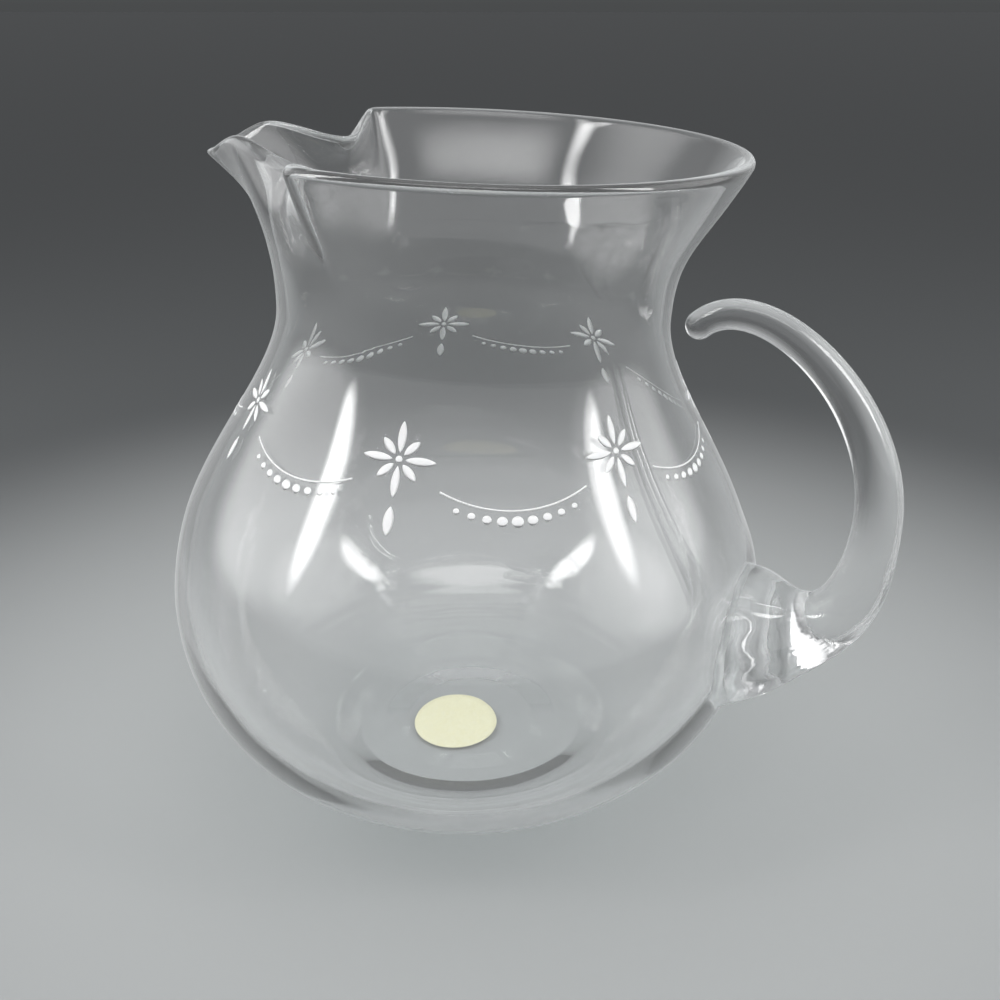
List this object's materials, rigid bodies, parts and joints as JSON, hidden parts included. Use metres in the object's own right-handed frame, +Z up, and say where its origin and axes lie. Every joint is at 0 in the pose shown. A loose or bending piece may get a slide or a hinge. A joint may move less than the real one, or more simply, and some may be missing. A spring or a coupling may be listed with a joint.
{
  "type": "water pitcher",
  "caption": "Round-bellied blown glass pitcher with a narrow neck, flared rim, pinched ice-lip spout, open hook handle applied to the belly, and a round paper label under the base.",
  "frame": {"origin": "on the table plane, under the middle of the whole object's plan, handle included", "axes": "+Z up; the spout points along -X; the handle lies toward +X, turned a little toward -Y"},
  "size_m": [0.1884, 0.164, 0.1791],
  "materials": {
    "glass": "clear colourless, fire polished",
    "label_paper": "plain pale yellow, matt"
  },
  "bodies": {
    "root": {"body": "glass", "handle": "glass", "label": "label_paper"}
  },
  "joints": []
}
